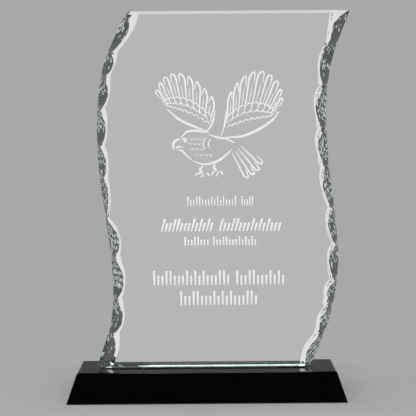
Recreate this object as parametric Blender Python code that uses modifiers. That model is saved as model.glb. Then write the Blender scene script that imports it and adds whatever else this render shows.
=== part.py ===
"""Glass award: a wavy panel of clear glass with chipped sides, standing on a black glass base.

Metres, +Z up. The award faces -Y, and the origin is the middle of the base's underside.
"""

import math

import bmesh
import bpy
from mathutils import Vector, geometry

# Glass panel
panel_height = 0.2313
panel_thickness = 0.019
panel_seat_gap = 0.0003
top_arris_front = 0.0020
top_arris_back = 0.0005
foot_arris = 0.0005
sawn_rim = 0.0018

# Base block, whose four sides slope out to its foot. Its top reaches past the panel by a ledge.
base_height = 0.0195
base_ledge_end = 0.01155
base_ledge_front = 0.0205
base_side_run = 0.00675
base_edge_round = 0.0008
base_bevel_segments = 3

# Reach of the panel's sides from the middle of the base, at equal steps from foot to top,
# as shares of the panel's height
left_reach = (0.3100, 0.2676, 0.2659, 0.2840, 0.3009, 0.3031, 0.2828, 0.2179)
right_reach = (0.2944, 0.3498, 0.3727, 0.3645, 0.3476, 0.3411, 0.3567, 0.4081)

# Chips from foot to top: length, depth at the lower end, depth in the middle.
# The lengths are shared out over the panel's height.
left_chips = (
    (0.0234, 0.0097, 0.0100),
    (0.0219, 0.0070, 0.0082),
    (0.0276, 0.0055, 0.0083),
    (0.0264, 0.0055, 0.0078),
    (0.0258, 0.0030, 0.0056),
    (0.0201, 0.0051, 0.0069),
    (0.0238, 0.0047, 0.0070),
    (0.0209, 0.0047, 0.0074),
    (0.0155, 0.0057, 0.0081),
    (0.0262, 0.0070, 0.0102),
)
left_top_depth = 0.0082
right_chips = (
    (0.0228, 0.0080, 0.0085),
    (0.0171, 0.0065, 0.0076),
    (0.0180, 0.0053, 0.0076),
    (0.0232, 0.0052, 0.0074),
    (0.0227, 0.0040, 0.0065),
    (0.0269, 0.0040, 0.0070),
    (0.0254, 0.0057, 0.0072),
    (0.0273, 0.0057, 0.0081),
    (0.0266, 0.0060, 0.0089),
    (0.0213, 0.0070, 0.0104),
)
right_top_depth = 0.0128
stations_per_chip = 6
chip_rings = 6
chip_lip_slope = 0.42
cusp_notch = 0.0006
cusp_notch_reach = 0.0020

# Engraving in the front face. Its sizes are given for a panel of the drawing's height.
drawing_height = 0.2313
engraving_depth = 0.00035
engraving_middle_x = 0.0090
line_end_width = 0.35
line_look = 0.02

# Emblem: a bird of prey with raised wings, in millimetres from the emblem's own middle
emblem_middle_height = 0.1577
emblem_unit = 0.001
feather_line = 1.15
feather_start = 0.34
feather_waist = 0.70
feather_crown = 0.42
feather_hook_back = 0.13
feather_hook_in = 0.30
feather_steps = 8
line_steps = 5
wings = (
    # arm curve from shoulder to wrist, curve of the feather tips, number of feathers
    (((-7, -3.5), (-16, 0.5), (-25, 5), (-32.5, 11.5)),
     ((-3, 13), (-11, 22.5), (-20, 29.5), (-30, 31), (-37.5, 26), (-40, 17.5)), 9),
    (((5, -6.5), (14, -6), (24, -2), (33, 4)),
     ((6, 15.5), (13.5, 26), (23.5, 32), (33.5, 29.5), (39.5, 21), (39.8, 11)), 9),
)
tail = (((4.5, -10.5), (7, -9), (9.2, -6.6)), ((16, -33), (23.5, -29), (27.5, -20.5)), 4)
bold_lines = (
    # points of a line and its width: wing edges, back, head, beak, breast, shoulder and legs
    (((-6.5, -4.8), (-16, -0.8), (-25.4, 3.6), (-33.6, 10.6)), 1.7),
    (((4, -8), (14.5, -7.4), (25, -3.4), (34.6, 3), (38.8, 8.6)), 1.7),
    (((-2.6, 9.5), (-3.4, 4.2), (-5.4, -0.8), (-8.6, -5)), 1.2),
    (((5.8, 12), (4.6, 6), (3.6, 0), (1.6, -6.6)), 1.2),
    (((-8.4, -5.2), (-14.4, -3.6), (-20.6, -4.2), (-24.8, -8.2)), 1.5),
    (((-25.2, -8.8), (-28.4, -10), (-29.8, -12.8), (-29.2, -15.6)), 1.8),
    (((-28.4, -15.2), (-26.2, -13.8), (-23.4, -14.2)), 1.1),
    (((-26.6, -16), (-24, -16.4), (-22, -18.6), (-17.6, -22.8)), 1.3),
    (((-16.8, -23.2), (-9.6, -25.4), (-1.6, -23.6), (4.6, -19.4), (8.2, -15.6)), 1.5),
    (((-7, -6), (-1, -8), (5, -9), (10, -11.6)), 1.4),
    (((-10.4, -26.4), (-12.4, -28.8), (-10.6, -31)), 1.6),
    (((-2.8, -25), (-3.4, -27.6), (-1.4, -29.8)), 1.6),
)
thin_lines = (
    # toes, brow and shoulder
    (((-11.4, -31), (-14, -31.2), (-16, -33)), 1.1),
    (((-10.2, -31.6), (-11.2, -33), (-12.2, -33.6)), 1.1),
    (((-9.2, -31), (-7.4, -31.6), (-6.8, -33.4)), 1.1),
    (((-2.2, -30), (-4, -30.6), (-5, -32.6)), 1.1),
    (((-1, -30.4), (-1.2, -32), (-2, -33.2)), 1.1),
    (((-0.2, -30), (1.6, -30.6), (2.4, -32.4)), 1.1),
    (((-24.2, -9.6), (-22.4, -8.8), (-20.2, -9.2)), 1.0),
    (((-8.6, -8.2), (-10.4, -11.6), (-9.4, -15.6)), 0.8),
    (((-5.4, -8.8), (-7, -12), (-6, -15.2)), 0.8),
)
eye_place = (-21.8, -10.4)
eye_radius = 0.9
eye_corners = 8

# Rows of wedge strokes: height of the foot line above the panel's foot, stroke height,
# lean, stroke width, pitch, and the words as left and right ends from the engraving's middle
stroke_rows = (
    (0.1054, 0.0061, 0.00, 0.00090, 0.0019, ((-0.0210, 0.0108), (0.0141, 0.0218))),
    (0.0890, 0.0081, 0.28, 0.00160, 0.0025, ((-0.0386, -0.0054), (-0.0009, 0.0388))),
    (0.0797, 0.0057, 0.00, 0.00120, 0.0020, ((-0.0231, -0.0072), (-0.0044, 0.0236))),
    (0.0540, 0.0094, 0.00, 0.00145, 0.0027, ((-0.0435, 0.0060), (0.0104, 0.0416))),
    (0.0409, 0.0092, 0.00, 0.00145, 0.0027, ((-0.0261, 0.0239),)),
)
short_stroke_height = 0.66
wedge_foot_width = 0.55
tall_stroke_every = 4
second_tall_every = 7
second_tall_start = 3

half_thickness = panel_thickness / 2
panel_foot_z = base_height + panel_seat_gap
base_half_width = panel_height * max(left_reach[0], right_reach[0]) + base_ledge_end
base_half_depth = half_thickness + base_ledge_front
drawing_scale = panel_height / drawing_height
fill_unit = 0.001
fill_tolerance = 0.0001


def clear_scene():
    for obj in list(bpy.data.objects):
        bpy.data.objects.remove(obj, do_unlink=True)


def new_collection(name):
    collection = bpy.data.collections.new(name)
    bpy.context.scene.collection.children.link(collection)
    return collection


def clear_glass():
    material = bpy.data.materials.new("clear_glass")
    material.use_nodes = True
    shader = material.node_tree.nodes["Principled BSDF"]
    shader.inputs["Base Color"].default_value = (0.96, 0.98, 0.97, 1)
    shader.inputs["Roughness"].default_value = 0.02
    shader.inputs["IOR"].default_value = 1.52
    shader.inputs["Transmission Weight"].default_value = 1.0
    return material


def black_glass():
    material = bpy.data.materials.new("black_glass")
    material.use_nodes = True
    shader = material.node_tree.nodes["Principled BSDF"]
    shader.inputs["Base Color"].default_value = (0.004, 0.004, 0.005, 1)
    shader.inputs["Metallic"].default_value = 0.0
    shader.inputs["Roughness"].default_value = 0.04
    return material


def curve_value(values, share):
    """Value of a smooth curve through equally spaced values, at a share of its length."""
    steps = len(values) - 1
    place = min(max(share, 0.0), 1.0) * steps
    first = min(int(place), steps - 1)
    t = place - first
    before = values[first - 1] if first > 0 else 2 * values[0] - values[1]
    after = values[first + 2] if first + 2 <= steps else 2 * values[-1] - values[-2]
    here, there = values[first], values[first + 1]
    return 0.5 * (
        2 * here
        + (there - before) * t
        + (2 * before - 5 * here + 4 * there - after) * t * t
        + (3 * here - before - 3 * there + after) * t * t * t
    )


def curve_point(points, share):
    """Point of a smooth curve through points in the plane of the panel."""
    return Vector(curve_value([point[axis] for point in points], share) for axis in (0, 1))


def chip_stations(chips, top_depth):
    """Heights above the panel's foot, with the chips' depth and the notch there."""
    scale = panel_height / sum(length for length, _, _ in chips)
    upper_depths = [lower for _, lower, _ in chips[1:]] + [top_depth]
    height = 0.0
    stations = []
    for (length, lower, middle), upper in zip(chips, upper_depths):
        bulge = middle - (lower + upper) / 2
        for step in range(stations_per_chip):
            t = step / stations_per_chip
            depth = lower + (upper - lower) * t + bulge * 4 * t * (1 - t)
            to_cusp = min(t, 1 - t) * length * scale
            notch = cusp_notch * max(0.0, 1 - to_cusp / cusp_notch_reach)
            stations.append((height + t * length * scale, depth, notch))
        height += length * scale
    stations.append((panel_height, top_depth, 0.0))
    inner = [s for s in stations[1:-1] if foot_arris < s[0] < panel_height - top_arris_front]
    depth_at_foot, depth_at_top = stations[0][1], stations[-1][1]
    foot_rows = [(rise, depth_at_foot, 0.0) for rise in (0.0, foot_arris)]
    top_rows = [(panel_height - cut, depth_at_top, 0.0) for cut in (top_arris_front, top_arris_back, 0.0)]
    return foot_rows + inner + top_rows


def half_thickness_at(height, top_arris):
    """Half the panel's thickness, less the bevels along its foot and its top."""
    foot_cut = max(0.0, foot_arris - height)
    top_cut = max(0.0, height - (panel_height - top_arris))
    return half_thickness - foot_cut - top_cut


def chip_section(depth, notch, half):
    """Points of one chip from its lip out to the rim: distance in from the outline, and from mid plane."""
    points = []
    for ring in range(chip_rings + 1):
        q = ring / chip_rings
        drop = chip_lip_slope * q + (1 - chip_lip_slope) * q**3
        points.append((notch + (depth - notch) * (1 - q), half - (half - sawn_rim / 2) * drop))
    return points


def add_chipped_side(bm, reach, chips, top_depth, direction):
    """Adds one side of the panel and gives its rows of vertices, foot to top."""
    rows = []
    for height, depth, notch in chip_stations(chips, top_depth):
        edge = panel_height * curve_value(reach, height / panel_height)
        front = chip_section(depth, notch, half_thickness_at(height, top_arris_front))
        back = chip_section(depth, notch, half_thickness_at(height, top_arris_back))
        section = [(inward, -out) for inward, out in front] + [(notch, 0.0)] + back[::-1]
        z = panel_foot_z + height
        rows.append([bm.verts.new((direction * (edge - inward), y, z)) for inward, y in section])
    for lower, upper in zip(rows, rows[1:]):
        for i in range(len(lower) - 1):
            corners = [lower[i], upper[i], upper[i + 1], lower[i + 1]]
            face = bm.faces.new(corners if direction < 0 else reversed(corners))
            face.smooth = True
    return rows


def band_loop(near_side, far_side, column, first_row, end_row):
    """Vertices round the flat band between both sides, over a slice of their rows."""
    there = [row[column] for row in far_side[first_row:end_row]]
    back_again = [row[column] for row in near_side[first_row:end_row]]
    return there + back_again[::-1]


def make_panel(collection):
    """The chipped panel, with the engraving sunk into its front face."""
    bm = bmesh.new()
    left = add_chipped_side(bm, left_reach, left_chips, left_top_depth, -1)
    right = add_chipped_side(bm, right_reach, right_chips, right_top_depth, 1)
    fill_engraved_face(bm, band_loop(left, right, 0, 1, -2), emblem_outlines() + wedge_outlines())
    bm.faces.new(band_loop(right, left, -1, 1, -1))
    for column, lower, upper in ((0, 0, 2), (0, -3, None)):
        bm.faces.new(band_loop(left, right, column, lower, upper))
    for column, lower, upper in ((-1, 0, 2), (-1, -2, None)):
        bm.faces.new(band_loop(right, left, column, lower, upper))
    bm.faces.new([*reversed(right[0]), *left[0]])
    bm.faces.new([*reversed(left[-1]), *right[-1]])
    mesh = bpy.data.meshes.new("glass_panel")
    bm.to_mesh(mesh)
    bm.free()
    mesh.materials.append(clear_glass())
    panel = bpy.data.objects.new("glass_panel", mesh)
    collection.objects.link(panel)


def fill_engraved_face(bm, loop, outlines):
    """Fills the front face round the engraving, and sinks the engraving's floor."""
    flat = [Vector((vert.co.x, vert.co.z)) / fill_unit for vert in loop]
    faces = [list(range(len(flat)))]
    for outline in map(anticlockwise, outlines):
        first = len(flat)
        flat += [(point * drawing_scale + Vector((0, panel_foot_z))) / fill_unit for point in outline]
        faces.append(list(range(first, len(flat))))
    filled = geometry.delaunay_2d_cdt(flat, [], faces, 1, fill_tolerance)
    points, _, triangles, from_points, _, from_faces = filled
    surface, sunk = {}, {}

    def surface_vert(i):
        if i not in surface:
            known = [n for n in from_points[i] if n < len(loop)]
            place = (points[i].x * fill_unit, -half_thickness, points[i].y * fill_unit)
            surface[i] = loop[known[0]] if known else bm.verts.new(place)
        return surface[i]

    def sunk_vert(i):
        if i not in sunk:
            place = (points[i].x * fill_unit, -half_thickness + engraving_depth, points[i].y * fill_unit)
            sunk[i] = bm.verts.new(place)
        return sunk[i]

    walls = set()
    for corners, source in zip(triangles, from_faces):
        corners = turned_to_front(points, corners)
        engraved = any(n > 0 for n in source)
        vert_at = sunk_vert if engraved else surface_vert
        bm.faces.new([vert_at(i) for i in corners])
        if engraved:
            for a, b in zip(corners, corners[1:] + corners[:1]):
                if (b, a) in walls:
                    walls.remove((b, a))
                else:
                    walls.add((a, b))
    for a, b in sorted(walls):
        bm.faces.new([surface_vert(a), surface_vert(b), sunk_vert(b), sunk_vert(a)])


def turned_to_front(points, corners):
    a, b, c = (points[i] for i in corners)
    return list(corners) if (b - a).cross(c - a) > 0 else list(reversed(corners))


def anticlockwise(outline):
    turn = sum(a.cross(b) for a, b in zip(outline, outline[1:] + outline[:1]))
    return outline if turn > 0 else outline[::-1]


def line_pieces(points, width, steps):
    """Outlines of the short pieces of a smooth line that tapers to both ends."""
    edges = []
    for step in range(steps + 1):
        t = step / steps
        ahead = curve_point(points, t + line_look) - curve_point(points, t - line_look)
        across = Vector((-ahead.y, ahead.x)).normalized()
        swell = line_end_width + (1 - line_end_width) * math.sin(math.pi * t)
        middle = curve_point(points, t)
        edges.append((middle + across * width / 2 * swell, middle - across * width / 2 * swell))
    pieces = []
    for start, end in zip(edges, edges[1:]):
        corners = [*start, *end]
        pieces.append([corners[i] for i in geometry.convex_hull_2d(corners)])
    return pieces


def fan_lines(arm, tips, feathers):
    """One line a feather: along its side from the arm to the tip, then round the tip."""
    outlines = []
    for feather in range(feathers):
        here, there = feather / feathers, (feather + 1) / feathers
        root, tip = curve_point(arm, here), curve_point(tips, here)
        next_root, next_tip = curve_point(arm, there), curve_point(tips, there)
        quill = tip - root
        reach = (next_tip - tip).length * feather_crown
        crown = (tip + next_tip) / 2 + quill.normalized() * reach
        hook = next_tip + (next_root - next_tip) * feather_hook_back + (tip - next_tip) * feather_hook_in
        line = (root + quill * feather_start, root + quill * feather_waist, tip, crown, hook)
        outlines += line_pieces(line, feather_line, feather_steps)
    return outlines


def emblem_outlines():
    outlines = []
    for arm, tips, feathers in (*wings, tail):
        outlines += fan_lines(arm, tips, feathers)
    for points, width in (*bold_lines, *thin_lines):
        outlines += line_pieces(points, width, line_steps)
    eye_turn = 2 * math.pi / eye_corners
    eye_spokes = [Vector((math.cos(eye_turn * i), math.sin(eye_turn * i))) for i in range(eye_corners)]
    outlines.append([Vector(eye_place) + spoke * eye_radius for spoke in eye_spokes])
    middle = Vector((engraving_middle_x, emblem_middle_height))
    return [[point * emblem_unit + middle for point in outline] for outline in outlines]


def wedge_outlines():
    """Rows of tapered strokes, tall and short in turn, that stand where the photo has words."""
    outlines = []
    for foot, height, lean, width, pitch, words in stroke_rows:
        top_half, foot_half = width / 2, width / 2 * wedge_foot_width
        for left, right in words:
            count = round((right - left - width) / pitch) + 1
            step = (right - left - width) / (count - 1)
            for i in range(count):
                tall = i % tall_stroke_every == 0 or i % second_tall_every == second_tall_start
                rise = height * (1.0 if tall else short_stroke_height)
                x = engraving_middle_x + left + top_half + i * step
                top_x = x + lean * rise
                outlines.append(
                    [
                        Vector((x - foot_half, foot)),
                        Vector((x + foot_half, foot)),
                        Vector((top_x + top_half, foot + rise)),
                        Vector((top_x - top_half, foot + rise)),
                    ]
                )
    return outlines


def make_base(collection):
    """The block: a cube drawn in towards its top, with small rounded edges."""
    bm = bmesh.new()
    bmesh.ops.create_cube(bm, size=1.0)
    for vert in bm.verts:
        run = 0.0 if vert.co.z > 0 else base_side_run
        vert.co.x = math.copysign(base_half_width + run, vert.co.x)
        vert.co.y = math.copysign(base_half_depth + run, vert.co.y)
        vert.co.z = base_height if vert.co.z > 0 else 0.0
    mesh = bpy.data.meshes.new("base")
    bm.to_mesh(mesh)
    bm.free()
    mesh.materials.append(black_glass())
    base = bpy.data.objects.new("base", mesh)
    collection.objects.link(base)
    bevel = base.modifiers.new("rounded_edges", "BEVEL")
    bevel.width = base_edge_round
    bevel.segments = base_bevel_segments
    mesh.shade_smooth()
    mesh.set_sharp_from_angle(angle=math.radians(35))
    return base


def main():
    clear_scene()
    parts = new_collection("glass_award")
    make_base(parts)
    make_panel(parts)


main()
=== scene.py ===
"""Looks of the glass award: clear glass with chipped sides, a frosted engraving and a black base.

Metres, +Z up, and the award faces -Y. Angles are in degrees, and azimuths turn from +Y, behind it.
"""

import math
import random

import bmesh
import bpy
from mathutils import Euler, Matrix, Vector, geometry


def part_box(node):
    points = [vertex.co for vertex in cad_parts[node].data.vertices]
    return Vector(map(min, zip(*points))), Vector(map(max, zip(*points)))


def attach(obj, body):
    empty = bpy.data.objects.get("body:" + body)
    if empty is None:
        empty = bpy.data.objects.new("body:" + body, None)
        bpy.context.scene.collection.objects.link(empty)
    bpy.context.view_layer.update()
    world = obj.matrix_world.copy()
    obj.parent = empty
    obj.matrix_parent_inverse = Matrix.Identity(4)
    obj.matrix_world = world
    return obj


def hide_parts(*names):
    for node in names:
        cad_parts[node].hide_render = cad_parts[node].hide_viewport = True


# Camera, as fitted to the photograph
camera_place = (0.0015, -1.2499, 0.1906)
camera_pitch = 3.085
camera_roll = -0.439
focal_pixels = 1917.0
image_pixels = 416
sensor_width = 36.0
near_clip = 0.05

# Panel, as in the imported solid: its foot, its top and its thickness come from the solid's bounds.
# Each reach is how far the outline stands out from x = 0, as a share of the height, at equal steps up
# the side
top_arris_front = 0.0020
top_arris_back = 0.0005
foot_arris = 0.0005
sawn_rim = 0.0018
left_reach = (0.3100, 0.2676, 0.2659, 0.2840, 0.3009, 0.3031, 0.2828, 0.2179)
right_reach = (0.2944, 0.3498, 0.3727, 0.3645, 0.3476, 0.3411, 0.3567, 0.4081)

# Chips from foot to top: length, depth at the lower end, depth in the middle, how far the chip on
# the back starts above this one, width of the steep side at the lower and the upper end, and width
# of the gentle lip in the middle
left_chips = (
    (0.0234, 0.0097, 0.0104, 0.0, 0.0056, 0.0030, 0.0018),
    (0.0219, 0.0074, 0.0085, 0.0, 0.0042, 0.0016, 0.0012),
    (0.0276, 0.0055, 0.0087, -0.0006, 0.0024, 0.0024, 0.0014),
    (0.0264, 0.0055, 0.0080, -0.0002, 0.0024, 0.0010, 0.0012),
    (0.0258, 0.0022, 0.0052, -0.0014, 0.0010, 0.0022, 0.0003),
    (0.0201, 0.0051, 0.0064, -0.0016, 0.0028, 0.0014, 0.0010),
    (0.0238, 0.0047, 0.0072, 0.0002, 0.0028, 0.0012, 0.0011),
    (0.0209, 0.0047, 0.0078, 0.0005, 0.0024, 0.0018, 0.0012),
    (0.0155, 0.0057, 0.0081, 0.0010, 0.0024, 0.0022, 0.0013),
    (0.0262, 0.0066, 0.0102, 0.0028, 0.0024, 0.0003, 0.0026),
)
# Depth of the chips at the panel's top edge, the most that it may be on the back, and how far the
# deepest place of a chip leans towards its upper end
left_top_depth = 0.0082
left_back_top_limit = 0.0065
left_skew = 1.0

right_chips = (
    (0.0228, 0.0080, 0.0104, 0.0, 0.0046, 0.0002, 0.0034),
    (0.0171, 0.0065, 0.0090, -0.0024, 0.0044, 0.0002, 0.0024),
    (0.0180, 0.0050, 0.0084, -0.0034, 0.0044, 0.0002, 0.0026),
    (0.0232, 0.0046, 0.0080, -0.0020, 0.0036, 0.0004, 0.0012),
    (0.0227, 0.0042, 0.0068, -0.0023, 0.0036, 0.0004, 0.0012),
    (0.0269, 0.0042, 0.0077, -0.0008, 0.0032, 0.0004, 0.0016),
    (0.0254, 0.0055, 0.0083, -0.0019, 0.0034, 0.0004, 0.0016),
    (0.0273, 0.0056, 0.0089, -0.0024, 0.0036, 0.0004, 0.0012),
    (0.0266, 0.0060, 0.0092, -0.0014, 0.0032, 0.0052, 0.0014),
    (0.0213, 0.0078, 0.0106, -0.0032, 0.0056, 0.0004, 0.0030),
)
right_top_depth = 0.0128
right_back_top_limit = 0.0015
right_skew = 1.3

# How suddenly the lip widens towards the lower and the upper end of a chip
lip_growth = (6.0, 1.5)
# Scars of the chips from foot to top, pale bruises that also stand in for painted glints: share of
# the places that have one, and how far up the chip its plain dark end reaches. The back has a share
# of the front's scars, and the dark ends have few
left_scars = ((0.55, 0.72), (0.95, 0.48), (0.98, 0.12), (0.98, 0.0), (0.95, 0.10),
              (0.95, 0.20), (0.90, 0.35), (0.85, 0.40), (0.60, 0.50), (0.65, 0.45))
right_scars = ((0.98, 0.0), (0.95, 0.15), (0.92, 0.25), (0.92, 0.25), (0.92, 0.08),
               (0.92, 0.08), (0.90, 0.08), (0.90, 0.08), (0.50, 0.30), (0.20, 0.70))
back_scar_share = 0.35
dark_end_share = 0.12
# Height between the rows of points on a side, and the steps in a row from lip to rim
station_step = 0.0003
chip_rings = 24
# Slope of the lip, and the run in which it turns into the steep side
lip_angle = 26.0
lip_turn = 0.0012
back_depth_limit = 0.0065
# How far the rim draws in where two chips meet, and how far up and down from there
cusp_notch = 0.0006
cusp_notch_reach = 0.0020
# A flat face keeps a sharp edge where it turns by more than this
flat_edge_angle = math.radians(5)

# Ripples in the chips: rings and rays round the place where each chip was struck
ripple_seed = 7
strike_span = (0.35, 0.65)
ripple_spread = (0.85, 1.2)
ripple_pitch = 0.0020
ripple_height = 0.00003
cross_ripple_height = 0.00006
ray_count = 9
ray_reach = 0.005
ray_twist = 300.0
ray_root = 0.002
ripple_stretch = 1.02

# Fine line in the lip of each right chip: its reach out from the lip's edge, and its span up the
# chip as the start and the end of both its parts
groove_reach = 0.0021
groove_width = 0.0004
groove_depth = 0.0003
groove_span = (0.70, 0.78, 0.82, 0.93)

# Small pale scars in the chips, in rows along each chip's lip: partly bruised glass, partly painted
# glints. Their lengths are shares of the pitch, and their widths of the gap
scar_rows = 12
scar_row_gap = 0.0010
scar_pitch = 0.0042
scar_length = (0.45, 0.90)
scar_width = (0.35, 0.75)
# Whitish colour of the scars: partly bruised glass, partly painted glints that the lamps light
scar_glint_colour = (0.93, 1.0, 0.99)

# Engraving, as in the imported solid: heights hold for a panel drawing_height tall, and the emblem's
# points and line widths are in millimetres, from the emblem's middle
drawing_height = 0.2313
engraving_depth = 0.00035
engraving_middle_x = 0.0090
emblem_middle_height = 0.1577
emblem_unit = 0.001
# A line tapers to this share of its width, and takes its direction from this far on both sides
line_end_width = 0.35
line_look = 0.02
# Feathers: widths of lines, and places as shares of a feather's length and width
feather_line = 1.15
feather_start = 0.34
feather_waist = 0.70
feather_crown = 0.42
feather_hook_back = 0.13
feather_hook_in = 0.30
shaft_line = 0.55
shaft_reach = (0.52, 0.86)
covert_line = 0.8
covert_rows = (0.20, 0.34, 0.48)
covert_bulge = 0.38
feather_steps = 14
line_steps = 12

# Wings and tail: points along the feathers' roots, points along their tips, number of feathers
wings = (
    (((-7, -3.5), (-16, 0.5), (-25, 5), (-32.5, 11.5)),
     ((-3, 13), (-11, 22.5), (-20, 29.5), (-30, 31), (-37.5, 26), (-40, 17.5)), 9),
    (((5, -6.5), (14, -6), (24, -2), (33, 4)),
     ((6, 15.5), (13.5, 26), (23.5, 32), (33.5, 29.5), (39.5, 21), (39.8, 11)), 9),
)
tail = (((4.5, -10.5), (7, -9), (9.2, -6.6)), ((16, -33), (23.5, -29), (27.5, -20.5)), 4)
# Head, body and feet: points of each line, and its width
bold_lines = (
    (((-6.5, -4.8), (-16, -0.8), (-25.4, 3.6), (-33.6, 10.6)), 1.7),
    (((4, -8), (14.5, -7.4), (25, -3.4), (34.6, 3), (38.8, 8.6)), 1.7),
    (((-2.6, 9.5), (-3.4, 4.2), (-5.4, -0.8), (-8.6, -5)), 1.2),
    (((5.8, 12), (4.6, 6), (3.6, 0), (1.6, -6.6)), 1.2),
    (((-8.4, -5.2), (-14.4, -3.6), (-20.6, -4.2), (-24.8, -8.2)), 1.5),
    (((-25.2, -8.8), (-28.4, -10), (-29.8, -12.8), (-29.2, -15.6)), 1.8),
    (((-28.4, -15.2), (-26.2, -13.8), (-23.4, -14.2)), 1.1),
    (((-26.6, -16), (-24, -16.4), (-22, -18.6), (-17.6, -22.8)), 1.3),
    (((-16.8, -23.2), (-9.6, -25.4), (-1.6, -23.6), (4.6, -19.4), (8.2, -15.6)), 1.5),
    (((-7, -6), (-1, -8), (5, -9), (10, -11.6)), 1.4),
    (((-10.4, -26.4), (-12.4, -28.8), (-10.6, -31)), 1.6),
    (((-2.8, -25), (-3.4, -27.6), (-1.4, -29.8)), 1.6),
)
thin_lines = (
    (((-11.4, -31), (-14, -31.2), (-16, -33)), 1.1),
    (((-10.2, -31.6), (-11.2, -33), (-12.2, -33.6)), 1.1),
    (((-9.2, -31), (-7.4, -31.6), (-6.8, -33.4)), 1.1),
    (((-2.2, -30), (-4, -30.6), (-5, -32.6)), 1.1),
    (((-1, -30.4), (-1.2, -32), (-2, -33.2)), 1.1),
    (((-0.2, -30), (1.6, -30.6), (2.4, -32.4)), 1.1),
    (((-24.2, -9.6), (-22.4, -8.8), (-20.2, -9.2)), 1.0),
    (((-8.6, -8.2), (-10.4, -11.6), (-9.4, -15.6)), 0.8),
    (((-5.4, -8.8), (-7, -12), (-6, -15.2)), 0.8),
)
down_rows = (
    # left end, spacing and number of the small feathers on neck and breast
    ((-17.4, -8.0), (2.7, -0.2), 3),
    ((-18.8, -11.2), (2.8, -0.2), 3),
    ((-17.2, -14.6), (2.9, -0.2), 3),
    ((-14.4, -18.4), (3, -0.2), 4),
)
down_reach = (1.2, 1.0)
down_line = 0.55
eye_place = (-21.8, -10.4)
eye_radius = 0.9
eye_corners = 16
stroke_rows = (
    # foot, height, lean, width and pitch of the strokes, then the left and right end of each word
    (0.1054, 0.0061, 0.00, 0.00090, 0.0019, ((-0.0210, 0.0108), (0.0141, 0.0218))),
    (0.0890, 0.0081, 0.28, 0.00160, 0.0025, ((-0.0386, -0.0054), (-0.0009, 0.0388))),
    (0.0797, 0.0057, 0.00, 0.00120, 0.0020, ((-0.0231, -0.0072), (-0.0044, 0.0236))),
    (0.0540, 0.0094, 0.00, 0.00145, 0.0027, ((-0.0435, 0.0060), (0.0104, 0.0416))),
    (0.0409, 0.0092, 0.00, 0.00145, 0.0027, ((-0.0261, 0.0239),)),
)
short_stroke_height = 0.66
wedge_foot_width = 0.55
tall_stroke_every = 4
second_tall_every = 7
second_tall_start = 3

# Fill of the engraved face: steps per metre in which it is worked out, and its tolerance in them
fill_steps = 1000
fill_tolerance = 1e-4

# Glass
flaked_name = "flaked"
glass_ior = 1.52
glass_colour = (1.0, 0.985, 0.975)
absorbed_colour = (0.55, 0.86, 0.84)
absorption = 3.0

# Surfaces: colours, each noise as steps per metre and detail, heights of bumps, ranges of roughness
hackle_noise = (900, 2)
hackle_height = 0.00006
frost_colour = (0.95, 0.95, 0.95)
frost_noise = (5000, 3)
frost_height = 0.00003
frost_roughness = (0.75, 1.0)
scar_noise = (3000, 3)
scar_height = 0.00005
scar_roughness = (0.4, 0.8)
base_colour = (0.0006, 0.0006, 0.0007)
dust_noise = (160, 6)
dust_roughness = (0.01, 0.05)

# Studio: the backdrop's brightness, its steps as elevation and share of that brightness, and cards
# that the camera doesn't see: they show only in the glass or only in the base
backdrop_level = 0.3916
sky_steps = ((5.2, 1.0), (7.3, 0.325), (9.0, 0.30), (14.0, 0.05))
card_distance = 8.0
card_step = 3.0
bright_edge = 19.0
cards = (
    # name, azimuth from and to, elevation from and to, brightness
    ("back_card", -8.5, 8.5, -14.0, 5.2, 0.49),
    ("low_card", -8.5, 8.5, -60.0, -14.0, 0.72),
    ("left_bright_card", -bright_edge, -8.5, -60.0, 12.0, 0.80),
    ("right_bright_card", 8.5, bright_edge, -60.0, 12.0, 0.80),
)
flags = (
    # the same, but dark: what the steep sides of the chips show
    ("left_flag", -150.0, -bright_edge, -60.0, 50.0, 0.088),
    ("right_flag", bright_edge, 150.0, -60.0, 50.0, 0.088),
)
flag_tint = (0.91, 1.0, 0.99)
ledge_cards = (
    # seen only in the polished base
    ("left_ledge_card", -75.0, -12.0, 9.0, 45.0, 0.45),
    ("right_ledge_card", 12.0, 75.0, 9.0, 45.0, 0.45),
)
front_light_place = (0.0, -2.3, 0.72)
front_light_size = (2.0, 0.30)
front_light_power = 41.0
top_light_place = (0.0, 0.0, 1.9)
top_light_size = 1.2
top_light_power = 14.0
light_target = (0.0, 0.0, 0.1)
floor_radius = 0.19
floor_corners = 96
floor_fade = (0.75, 1.0)
floor_colour = (0.68, 0.68, 0.68)
glass_bounces = 40
gloss_bounces = 16


def curve_value(values, share):
    """Value of a smooth curve through equally spaced values, at a share of its length."""
    steps = len(values) - 1
    place = min(max(share, 0.0), 1.0) * steps
    first = min(int(place), steps - 1)
    t = place - first
    before = values[first - 1] if first > 0 else 2 * values[0] - values[1]
    after = values[first + 2] if first + 2 <= steps else 2 * values[-1] - values[-2]
    here, there = values[first], values[first + 1]
    return 0.5 * (
        2 * here
        + (there - before) * t
        + (2 * before - 5 * here + 4 * there - after) * t * t
        + (3 * here - before - 3 * there + after) * t * t * t
    )


def curve_point(points, share):
    """Point of a smooth curve through points in a plane, at a share of its length."""
    return Vector(curve_value([point[axis] for point in points], share) for axis in (0, 1))


def anticlockwise(outline):
    """The outline, turned round where it runs clockwise."""
    turn = sum(a.cross(b) for a, b in zip(outline, outline[1:] + outline[:1]))
    return outline if turn > 0 else outline[::-1]


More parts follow.
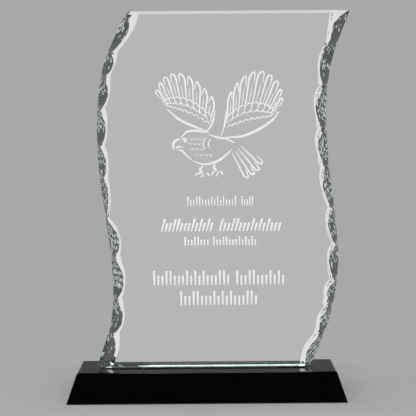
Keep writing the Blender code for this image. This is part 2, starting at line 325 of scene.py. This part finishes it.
class ChippedSide:
    """One side of the panel: where its outline runs, and how deep the chips go, front and back."""

    def __init__(
        self, direction, reach, chips, top_depth, back_top_limit, skew, scars, height, half, rng
    ):
        self.direction, self.reach, self.height, self.half = direction, reach, height, half
        self.skew, self.back_top_limit = skew, back_top_limit
        scale = height / sum(chip[0] for chip in chips)
        self.cusps = {-1: [0.0], 1: [0.0]}
        place = 0.0
        for chip, following in zip(chips, [*chips[1:], None]):
            place += chip[0] * scale
            shift = following[3] if following else 0.0
            self.cusps[-1].append(place)
            self.cusps[1].append(place + shift)
        self.ends = [chip[1] for chip in chips] + [top_depth]
        self.middles = [chip[2] for chip in chips]
        self.side_widths = [chip[4:6] for chip in chips]
        self.lip_widths = [chip[6] for chip in chips]
        self.scars = {}
        for face, kept in ((-1, 1.0), (1, back_scar_share)):
            spans = zip(self.cusps[face], self.cusps[face][1:], scars)
            self.scars[face] = [
                self.lay_scars(low, high, dark_end, share * kept, rng)
                for low, high, (share, dark_end) in spans
            ]
        self.strikes = {
            face: [
                (
                    low + (high - low) * rng.uniform(*strike_span),
                    rng.uniform(0, 2 * math.pi),
                    rng.uniform(*ripple_spread),
                )
                for low, high in zip(self.cusps[face], self.cusps[face][1:])
            ]
            for face in (-1, 1)
        }

    def stations(self):
        """Heights of the rows of points, with a row on each front cusp and at each arris."""
        arrises = (foot_arris, self.height - top_arris_front, self.height - top_arris_back)
        marks = sorted({*self.cusps[-1], *arrises})
        heights = []
        for low, high in zip(marks, marks[1:]):
            steps = max(1, round((high - low) / station_step))
            heights += [low + (high - low) * step / steps for step in range(steps)]
        return heights + [self.height]

    def chip(self, face, height):
        """Number of the chip at a height, and the share of the way up it."""
        cusps = self.cusps[face]
        number = 0
        while number < len(cusps) - 2 and height >= cusps[number + 1]:
            number += 1
        return number, (height - cusps[number]) / (cusps[number + 1] - cusps[number])

    def depth(self, face, height):
        """How far the chips reach in over a face at a height."""
        number, t = self.chip(face, height)
        lower, upper = self.ends[number], self.ends[number + 1]
        bulge = self.middles[number] - (lower + upper) / 2
        skewed = t**self.skew
        depth = lower + (upper - lower) * t + bulge * 4 * skewed * (1 - skewed)
        if face < 0:
            return depth
        limit = self.back_top_limit if number == len(self.middles) - 1 else back_depth_limit
        return min(depth, limit + (back_depth_limit - limit) * max(0.0, 1 - 2 * t))

    def notch(self, height):
        """How far the rim draws in at a height."""
        nearest = min(abs(height - cusp) for cusp in self.cusps[-1][1:-1])
        return cusp_notch * max(0.0, 1 - nearest / cusp_notch_reach)

    def ripple(self, face, height, inward, rise):
        """Relief of the shell-shaped ripples round the point where the chip was struck."""
        number, t = self.chip(face, height)
        strike, phase, spread = self.strikes[face][number]
        distance = math.hypot(height - strike, inward, rise)
        ring = ripple_height * math.sin(2 * math.pi * distance / (ripple_pitch * spread) + phase)
        turn = math.atan2(height - strike, inward + ray_root)
        sway = cross_ripple_height * min(1.0, distance / ray_reach)
        rays = sway * math.sin(turn * ray_count * spread + phase * 2 + distance * ray_twist)
        return ring + rays

    def groove(self, face, height, reach):
        """Depth of the fine line that runs along the lip of each front chip on the right."""
        _, t = self.chip(face, height)
        start, gap_start, gap_end, end = groove_span
        if face > 0 or self.direction < 0 or not (start < t < gap_start or gap_end < t < end):
            return 0.0
        return groove_depth * max(0.0, 1 - abs(reach - groove_reach) / groove_width)

    def lip(self, face, height, width):
        """Width of the gentle lip: narrow in the middle of a chip, wider to both ends."""
        number, t = self.chip(face, height)
        end = 0 if t < 0.5 else 1
        growth = abs(2 * t - 1) ** lip_growth[end]
        lip = self.lip_widths[number]
        lip += (width - self.side_widths[number][end] - lip) * growth
        return min(max(lip, lip_turn), width - lip_turn)

    @staticmethod
    def lay_scars(low, high, dark_end, share, rng):
        """Where the scars of one chip lie: from and to in height, and in reach out from its lip."""
        scars = []
        for row in range(scar_rows):
            start = low - scar_pitch * rng.random()
            while start < high:
                length = rng.uniform(*scar_length) * scar_pitch
                width = rng.uniform(*scar_width) * scar_row_gap
                side = scar_row_gap * row + (scar_row_gap - width) * rng.random()
                dark = start < low + dark_end * (high - low)
                if rng.random() < (dark_end_share if dark else share):
                    scars.append((start, start + length, side, side + width))
                start += scar_pitch
        return scars

    def is_scar(self, face, height, reach):
        """Whether a point lies in a scar, by its height and its reach out from the lip's edge."""
        number, _ = self.chip(face, height)
        return any(
            low <= height < high and inner <= reach < outer
            for low, high, inner, outer in self.scars[face][number]
        )

    def section(self, height):
        """Points from the front face round the rim to the back: x, y, how much they are flaked, and
        whether they are in a scar."""
        edge = self.height * curve_value(self.reach, height / self.height)
        notch = self.notch(height)
        points = {}
        for face, top_arris in ((-1, top_arris_front), (1, top_arris_back)):
            half = self.half - max(0.0, foot_arris - height, height - (self.height - top_arris))
            depth = self.depth(face, height)
            width, fall = depth - notch, half - sawn_rim / 2
            lip = self.lip(face, height, width)
            row = []
            for ring in range(chip_rings + 1):
                q = ring / chip_rings
                drop, slope, flaking = chip_drop(width * q, width, fall, lip)
                lean = math.atan(slope)
                inward = notch + width * (1 - q)
                fade = math.sin(math.pi * min(1.0, q * ripple_stretch)) ** 0.5 if 0 < q < 1 else 0.0
                relief = fade * self.ripple(face, height, inward, fall - drop)
                relief -= self.groove(face, height, width * q)
                inward += relief * math.sin(lean)
                drop += relief * math.cos(lean)
                scar = flaking > 0.5 and self.is_scar(face, height, width * q)
                row.append((self.direction * (edge - inward), face * (half - drop), flaking, scar))
            points[face] = row
        return points[-1] + points[1][::-1]


def chip_drop(reach, width, fall, lip):
    """Drop and slope of a chip at a reach out from its lip's edge, and its share of steep side."""
    start, end = lip - lip_turn / 2, lip + lip_turn / 2
    gentle = math.tan(math.radians(lip_angle))
    extra = (fall - gentle * width) / (width - (start + end) / 2)
    x = min(max((reach - start) / (end - start), 0.0), 1.0)
    steep_run = (end - start) * (x**3 - x**4 / 2) + max(0.0, reach - end)
    steep = 3 * x * x - 2 * x**3
    return gentle * reach + extra * steep_run, gentle + extra * steep, steep


def line_pieces(points, width, steps):
    """Outlines of the short pieces of a smooth line that tapers to both ends."""
    edges = []
    for step in range(steps + 1):
        t = step / steps
        ahead = curve_point(points, t + line_look) - curve_point(points, t - line_look)
        across = Vector((-ahead.y, ahead.x)).normalized()
        swell = line_end_width + (1 - line_end_width) * math.sin(math.pi * t)
        middle = curve_point(points, t)
        edges.append((middle + across * width / 2 * swell, middle - across * width / 2 * swell))
    pieces = []
    for start, end in zip(edges, edges[1:]):
        corners = [*start, *end]
        pieces.append([corners[i] for i in geometry.convex_hull_2d(corners)])
    return pieces


def bow(start, end, bulge):
    """Points along a shallow bow that leaves its straight chord by a bulge."""
    steps = 4
    shares = [i / steps for i in range(steps + 1)]
    return [start.lerp(end, share) + bulge * 4 * share * (1 - share) for share in shares]


def fan_lines(arm, tips, feathers):
    """One line a feather: along its side from the arm to the tip, then round the tip."""
    outlines = []
    for feather in range(feathers):
        here, there = feather / feathers, (feather + 1) / feathers
        root, tip = curve_point(arm, here), curve_point(tips, here)
        next_root, next_tip = curve_point(arm, there), curve_point(tips, there)
        quill = tip - root
        reach = (next_tip - tip).length * feather_crown
        crown = (tip + next_tip) / 2 + quill.normalized() * reach
        hook = next_tip + (next_root - next_tip) * feather_hook_back
        hook += (tip - next_tip) * feather_hook_in
        line = (root + quill * feather_start, root + quill * feather_waist, tip, crown, hook)
        outlines += line_pieces(line, feather_line, feather_steps)
    return outlines


def fan_detail(arm, tips, feathers):
    """Shafts of the feathers, and the rows of short feathers over their roots."""

    def place(share, out):
        root = curve_point(arm, share)
        return root + (curve_point(tips, share) - root) * out

    outlines = []
    shaft_foot, shaft_end = shaft_reach
    for feather in range(feathers):
        middle = (feather + 0.5) / feathers
        shaft_places = (shaft_foot, (shaft_foot + shaft_end) / 2, shaft_end)
        shaft = [place(middle, out) for out in shaft_places]
        outlines += line_pieces(shaft, shaft_line, line_steps)
        for row, out in enumerate(covert_rows):
            left, right = (feather + row % 2 / 2) / feathers, (feather + 1 + row % 2 / 2) / feathers
            start, end = place(left, out), place(right, out)
            ahead = place((left + right) / 2, 1) - place((left + right) / 2, 0)
            bulge = ahead.normalized() * (end - start).length * covert_bulge
            outlines += line_pieces(bow(start, end, bulge), covert_line, line_steps)
    return outlines


def down_outlines():
    """Small feathers of neck and breast, as rows of short arcs."""
    outlines = []
    wide, deep = down_reach
    for start, step, count in down_rows:
        for i in range(count):
            middle = Vector(start) + Vector(step) * i
            half = Vector((wide, 0))
            arc = bow(middle - half, middle + half, Vector((0, -deep)))
            outlines += line_pieces(arc, down_line, line_steps)
    return outlines


def emblem_outlines():
    """The whole bird in metres, at its place on the panel."""
    outlines = down_outlines()
    for arm, tips, feathers in (*wings, tail):
        outlines += fan_lines(arm, tips, feathers)
    for arm, tips, feathers in wings:
        outlines += fan_detail(arm, tips, feathers)
    for points, width in (*bold_lines, *thin_lines):
        outlines += line_pieces(points, width, line_steps)
    eye_turn = 2 * math.pi / eye_corners
    spokes = [
        Vector((math.cos(eye_turn * i), math.sin(eye_turn * i))) for i in range(eye_corners)
    ]
    outlines.append([Vector(eye_place) + spoke * eye_radius for spoke in spokes])
    middle = Vector((engraving_middle_x, emblem_middle_height))
    return [[point * emblem_unit + middle for point in outline] for outline in outlines]


def wedge_outlines():
    """Rows of tapered strokes, tall and short in turn, that stand where the photo has words."""
    outlines = []
    for foot, height, lean, width, pitch, words in stroke_rows:
        top_half, foot_half = width / 2, width / 2 * wedge_foot_width
        for left, right in words:
            count = round((right - left - width) / pitch) + 1
            step = (right - left - width) / (count - 1)
            for i in range(count):
                tall = i % tall_stroke_every == 0 or i % second_tall_every == second_tall_start
                rise = height * (1.0 if tall else short_stroke_height)
                x = engraving_middle_x + left + top_half + i * step
                top_x = x + lean * rise
                outlines.append(
                    [
                        Vector((x - foot_half, foot)),
                        Vector((x + foot_half, foot)),
                        Vector((top_x + top_half, foot + rise)),
                        Vector((top_x - top_half, foot + rise)),
                    ]
                )
    return outlines


def add_side(bm, side, foot_z):
    """Adds one chipped side and gives its rows of vertices, foot to top, and their heights."""
    flaked = bm.verts.layers.float[flaked_name]
    rows, scars = [], []
    for height in side.stations():
        rows.append([])
        scars.append([])
        for x, y, flaking, scar in side.section(height):
            vert = bm.verts.new((x, y, foot_z + height))
            vert[flaked] = flaking
            rows[-1].append(vert)
            scars[-1].append(scar)
    for lower, upper, scar_row in zip(rows, rows[1:], scars):
        for i in range(len(lower) - 1):
            corners = [lower[i], upper[i], upper[i + 1], lower[i + 1]]
            face = bm.faces.new(corners if side.direction < 0 else corners[::-1])
            face.smooth = True
            # Scars take the whitish glass: bruising together with painted glints
            face.material_index = 2 if scar_row[i] else 0
    return rows, side.stations()


def flat_loops(left, right, column, top_arris):
    """Vertices round the flat bands between both sides: the foot arris, the face, the top arris."""
    near = 1e-7

    def run(side, low, high):
        rows, heights = side
        return [row[column] for row, h in zip(rows, heights) if low - near <= h <= high + near]

    _, heights = left
    top_band = heights[-1] - top_arris
    bands = ((0.0, foot_arris), (foot_arris, top_band), (top_band, math.inf))
    return [run(right, low, high) + run(left, low, high)[::-1] for low, high in bands]


def fill_engraved_face(bm, loop, outlines, foot_z, half):
    """Fills the front face round the engraving, and sinks the engraving's floor."""
    flat = [Vector((v.co.x * fill_steps, v.co.z * fill_steps)) for v in loop]
    faces = [list(range(len(flat)))]
    for outline in map(anticlockwise, outlines):
        first = len(flat)
        flat += [Vector((p.x * fill_steps, (p.y + foot_z) * fill_steps)) for p in outline]
        faces.append(list(range(first, len(flat))))
    points, _, triangles, from_points, _, from_faces = geometry.delaunay_2d_cdt(
        flat, [], faces, 1, fill_tolerance
    )
    surface, sunk = {}, {}

    def surface_vert(i):
        if i not in surface:
            known = [n for n in from_points[i] if n < len(loop)]
            place = (points[i].x / fill_steps, -half, points[i].y / fill_steps)
            surface[i] = loop[known[0]] if known else bm.verts.new(place)
        return surface[i]

    def sunk_vert(i):
        if i not in sunk:
            y = -half + engraving_depth
            sunk[i] = bm.verts.new((points[i].x / fill_steps, y, points[i].y / fill_steps))
        return sunk[i]

    engraved = [any(n > 0 for n in source) for source in from_faces]
    walls = {}
    for corners, cut in zip(triangles, engraved):
        p, q, r = (points[i] for i in corners)
        turn = (q - p).cross(r - p)
        corners = list(corners) if turn > 0 else list(corners)[::-1]
        pick = sunk_vert if cut else surface_vert
        face = bm.faces.new([pick(i) for i in corners])
        face.material_index = 1 if cut else 0
        if cut:
            for a, b in zip(corners, corners[1:] + corners[:1]):
                if (b, a) in walls:
                    del walls[(b, a)]
                else:
                    walls[(a, b)] = True
    for a, b in walls:
        face = bm.faces.new([surface_vert(a), surface_vert(b), sunk_vert(b), sunk_vert(a)])
        face.material_index = 1


def shade(bm):
    """Smooth shading all over, as Cycles takes smooth and flat faces for two volumes, with sharp
    edges round the flat faces."""
    bm.normal_update()
    for edge in bm.edges:
        flat = not all(face.smooth for face in edge.link_faces)
        edge.smooth = not (flat and edge.calc_face_angle() > flat_edge_angle)
    for face in bm.faces:
        face.smooth = True


def make_panel(cad_node):
    """The glass panel as one closed mesh, in place of its solid."""
    low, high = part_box(cad_node)
    height, half, foot_z = high.z - low.z, (high.y - low.y) / 2, low.z
    rng = random.Random(ripple_seed)
    bm = bmesh.new()
    bm.verts.layers.float.new(flaked_name)
    sides = []
    for direction, reach, chips, top_depth, back_top_limit, skew, scars in (
        (-1, left_reach, left_chips, left_top_depth, left_back_top_limit, left_skew, left_scars),
        (1, right_reach, right_chips, right_top_depth, right_back_top_limit, right_skew, right_scars),
    ):
        side = ChippedSide(
            direction, reach, chips, top_depth, back_top_limit, skew, scars, height, half, rng
        )
        sides.append(add_side(bm, side, foot_z))
    left, right = sides
    foot_loop, face_loop, top_loop = flat_loops(left, right, 0, top_arris_front)
    bm.faces.new(foot_loop)
    bm.faces.new(top_loop)
    scale = height / drawing_height
    drawing = emblem_outlines() + wedge_outlines()
    outlines = [[point * scale for point in outline] for outline in drawing]
    fill_engraved_face(bm, face_loop, outlines, foot_z, half)
    for loop in flat_loops(left, right, -1, top_arris_back):
        bm.faces.new(loop[::-1])
    left_rows, right_rows = left[0], right[0]
    bm.faces.new([*reversed(right_rows[0]), *left_rows[0]])
    bm.faces.new([*reversed(left_rows[-1]), *right_rows[-1]])
    shade(bm)
    mesh = bpy.data.meshes.new("award_panel")
    bm.to_mesh(mesh)
    bm.free()
    for material in (clear_glass(), frosted_glass(), scarred_glinting_glass()):
        mesh.materials.append(material)
    panel = bpy.data.objects.new("award_panel", mesh)
    bpy.context.scene.collection.objects.link(panel)
    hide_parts(cad_node)
    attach(panel, "root")


def new_material(name):
    """A new material, its node tree and its shader."""
    material = bpy.data.materials.new(name)
    material.use_nodes = True
    tree = material.node_tree
    return material, tree, tree.nodes["Principled BSDF"]


def add_noise(tree, scale, detail):
    """Noise over the object's own coordinates, in steps per metre."""
    place = tree.nodes.new("ShaderNodeTexCoord")
    noise = tree.nodes.new("ShaderNodeTexNoise")
    noise.inputs["Scale"].default_value = scale
    noise.inputs["Detail"].default_value = detail
    tree.links.new(place.outputs["Object"], noise.inputs["Vector"])
    return noise


def map_to(tree, source, low, high, target):
    """Links a value from 0 to 1 to a socket as a value from low to high."""
    spread = tree.nodes.new("ShaderNodeMapRange")
    spread.inputs["To Min"].default_value = low
    spread.inputs["To Max"].default_value = high
    tree.links.new(source, spread.inputs["Value"])
    tree.links.new(spread.outputs["Result"], target)


def add_bump(tree, source, shader, distance):
    """Relief of a surface from a value, its greatest height given in metres."""
    bump = tree.nodes.new("ShaderNodeBump")
    bump.inputs["Distance"].default_value = distance
    tree.links.new(source, bump.inputs["Height"])
    tree.links.new(bump.outputs["Normal"], shader.inputs["Normal"])
    return bump


def set_clear(tree, shader):
    """See-through glass that takes a little red out of the light on its way."""
    shader.inputs["Base Color"].default_value = (*glass_colour, 1)
    shader.inputs["IOR"].default_value = glass_ior
    shader.inputs["Transmission Weight"].default_value = 1.0
    inside = tree.nodes.new("ShaderNodeVolumeAbsorption")
    inside.inputs["Color"].default_value = (*absorbed_colour, 1)
    inside.inputs["Density"].default_value = absorption
    tree.links.new(inside.outputs["Volume"], tree.nodes["Material Output"].inputs["Volume"])


def clear_glass():
    """Polished on its faces, with fine hackle where the sides are flaked."""
    material, tree, shader = new_material("award_glass")
    set_clear(tree, shader)
    shader.inputs["Roughness"].default_value = 0.0
    hackle = add_noise(tree, *hackle_noise)
    flaked = tree.nodes.new("ShaderNodeAttribute")
    flaked.attribute_name = flaked_name
    bump = add_bump(tree, hackle.outputs["Fac"], shader, hackle_height)
    tree.links.new(flaked.outputs["Fac"], bump.inputs["Strength"])
    return material


def frosted_glass():
    """Blasted floor of the engraving: white, matt and finely pitted."""
    material, tree, shader = new_material("frosted_glass")
    shader.inputs["Base Color"].default_value = (*frost_colour, 1)
    pits = add_noise(tree, *frost_noise)
    map_to(tree, pits.outputs["Fac"], *frost_roughness, shader.inputs["Roughness"])
    add_bump(tree, pits.outputs["Fac"], shader, frost_height)
    return material


def scarred_glinting_glass():
    """Bruised glass in the chips' small scars, whitish and matt: partly the bruise's own colour,
    partly painted glints.
    """
    material, tree, shader = new_material("scarred_glinting_glass")
    shader.inputs["Base Color"].default_value = (*scar_glint_colour, 1)
    pits = add_noise(tree, *scar_noise)
    map_to(tree, pits.outputs["Fac"], *scar_roughness, shader.inputs["Roughness"])
    add_bump(tree, pits.outputs["Fac"], shader, scar_height)
    return material


def black_glass():
    """Polished black block: mirror gloss with faint dust."""
    material, tree, shader = new_material("polished_black_glass")
    shader.inputs["Base Color"].default_value = (*base_colour, 1)
    shader.inputs["IOR"].default_value = glass_ior
    dust = add_noise(tree, *dust_noise)
    map_to(tree, dust.outputs["Fac"], *dust_roughness, shader.inputs["Roughness"])
    return material


def finish_base(cad_node):
    """Gives the base's own solid its polished black glass."""
    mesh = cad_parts[cad_node].data
    mesh.materials.clear()
    mesh.materials.append(black_glass())


def make_camera():
    """The camera that took the photograph, as far as it could be fitted."""
    data = bpy.data.cameras.new("camera")
    data.sensor_width = sensor_width
    data.lens = focal_pixels / image_pixels * sensor_width
    data.clip_start = near_clip
    camera = bpy.data.objects.new("camera", data)
    turn = Euler((math.radians(90 - camera_pitch), 0, 0)).to_matrix()
    roll = Matrix.Rotation(math.radians(camera_roll), 3, "Z")
    camera.matrix_world = Matrix.Translation(camera_place) @ (turn @ roll).to_4x4()
    bpy.context.scene.collection.objects.link(camera)
    bpy.context.scene.camera = camera


def make_world():
    """Even backdrop up to just above the horizon, then darker, up to a dark ceiling."""
    world = bpy.data.worlds.new("studio")
    bpy.context.scene.world = world
    world.use_nodes = True
    tree = world.node_tree
    place = tree.nodes.new("ShaderNodeTexCoord")
    parts = tree.nodes.new("ShaderNodeSeparateXYZ")
    ramp = tree.nodes.new("ShaderNodeValToRGB")
    tree.links.new(place.outputs["Generated"], parts.inputs["Vector"])
    tree.links.new(parts.outputs["Z"], ramp.inputs["Fac"])
    tree.links.new(ramp.outputs["Color"], tree.nodes["Background"].inputs["Color"])
    while len(ramp.color_ramp.elements) < len(sky_steps):
        ramp.color_ramp.elements.new(0.5)
    for element, (elevation, share) in zip(ramp.color_ramp.elements, sky_steps):
        element.position = math.sin(math.radians(elevation))
        element.color = (*[backdrop_level * share] * 3, 1)


def glow_material(name, colour):
    """Light of an even colour, as a card gives it off."""
    material = bpy.data.materials.new(name)
    material.use_nodes = True
    tree = material.node_tree
    tree.nodes.clear()
    glow = tree.nodes.new("ShaderNodeEmission")
    glow.inputs["Color"].default_value = (*colour, 1)
    output = tree.nodes.new("ShaderNodeOutputMaterial")
    tree.links.new(glow.outputs["Emission"], output.inputs["Surface"])
    return material


def make_card(name, azimuth_from, azimuth_to, low, high, level, tint=(1, 1, 1), in_base=False):
    """Part of a drum round the award, seen only through the glass or only in the base."""
    bm = bmesh.new()
    steps = max(2, round(abs(azimuth_to - azimuth_from) / card_step))
    heights = [card_distance * math.tan(math.radians(elevation)) for elevation in (low, high)]
    rows = []
    for step in range(steps + 1):
        azimuth = math.radians(azimuth_from + (azimuth_to - azimuth_from) * step / steps)
        x, y = card_distance * math.sin(azimuth), card_distance * math.cos(azimuth)
        rows.append([bm.verts.new((x, y, z)) for z in heights])
    for a, b in zip(rows, rows[1:]):
        bm.faces.new((a[0], b[0], b[1], a[1]))
    mesh = bpy.data.meshes.new(name)
    bm.to_mesh(mesh)
    bm.free()
    mesh.materials.append(glow_material(name, [level * part for part in tint]))
    card = bpy.data.objects.new(name, mesh)
    bpy.context.scene.collection.objects.link(card)
    card.visible_camera = False
    card.visible_glossy = in_base
    card.visible_transmission = not in_base
    card.visible_diffuse = not in_base
    card.visible_shadow = False


def make_area_light(name, place, size, power, seen_in_glass=False):
    """Soft light that the camera and the polished base don't show."""
    data = bpy.data.lights.new(name, "AREA")
    data.shape = "RECTANGLE"
    data.size, data.size_y = size
    data.energy = power
    light = bpy.data.objects.new(name, data)
    light.location = place
    aim = Vector(light_target) - Vector(place)
    light.rotation_euler = aim.to_track_quat("-Z", "Y").to_euler()
    light.visible_camera = False
    light.visible_glossy = False
    light.visible_transmission = seen_in_glass
    bpy.context.scene.collection.objects.link(light)


def make_floor():
    """Pale round floor that fades into the backdrop."""
    bm = bmesh.new()
    bmesh.ops.create_circle(bm, cap_ends=True, segments=floor_corners, radius=floor_radius)
    mesh = bpy.data.meshes.new("floor")
    bm.to_mesh(mesh)
    bm.free()
    material, tree, shader = new_material("pale_floor")
    shader.inputs["Base Color"].default_value = (*floor_colour, 1)
    shader.inputs["Roughness"].default_value = 1.0
    shader.inputs["Specular IOR Level"].default_value = 0.0
    place = tree.nodes.new("ShaderNodeTexCoord")
    reach = tree.nodes.new("ShaderNodeVectorMath")
    reach.operation = "LENGTH"
    tree.links.new(place.outputs["Object"], reach.inputs[0])
    fade = tree.nodes.new("ShaderNodeMapRange")
    fade.interpolation_type = "SMOOTHSTEP"
    fade.inputs["From Min"].default_value = floor_radius * floor_fade[0]
    fade.inputs["From Max"].default_value = floor_radius * floor_fade[1]
    fade.inputs["To Min"].default_value = 1.0
    fade.inputs["To Max"].default_value = 0.0
    tree.links.new(reach.outputs["Value"], fade.inputs["Value"])
    tree.links.new(fade.outputs["Result"], shader.inputs["Alpha"])
    mesh.materials.append(material)
    floor = bpy.data.objects.new("floor", mesh)
    bpy.context.scene.collection.objects.link(floor)
    floor.visible_transmission = False


def make_studio():
    make_world()
    for card in cards:
        make_card(*card)
    for flag in flags:
        make_card(*flag, tint=flag_tint)
    for card in ledge_cards:
        make_card(*card, in_base=True)
    make_area_light("front_light", front_light_place, front_light_size, front_light_power)
    top_size = (top_light_size, top_light_size)
    make_area_light("top_light", top_light_place, top_size, top_light_power, seen_in_glass=True)
    make_floor()
    scene = bpy.context.scene
    scene.view_settings.view_transform = "Standard"
    scene.cycles.max_bounces = glass_bounces
    scene.cycles.transmission_bounces = glass_bounces
    scene.cycles.glossy_bounces = gloss_bounces


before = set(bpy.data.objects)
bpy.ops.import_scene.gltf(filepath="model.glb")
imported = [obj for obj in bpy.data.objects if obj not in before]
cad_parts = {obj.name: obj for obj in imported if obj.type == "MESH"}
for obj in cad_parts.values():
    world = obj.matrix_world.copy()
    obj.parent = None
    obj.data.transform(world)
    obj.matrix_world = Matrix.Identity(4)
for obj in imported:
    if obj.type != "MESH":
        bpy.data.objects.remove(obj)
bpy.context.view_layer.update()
make_panel("glass_panel")
finish_base("base")
make_camera()
make_studio()
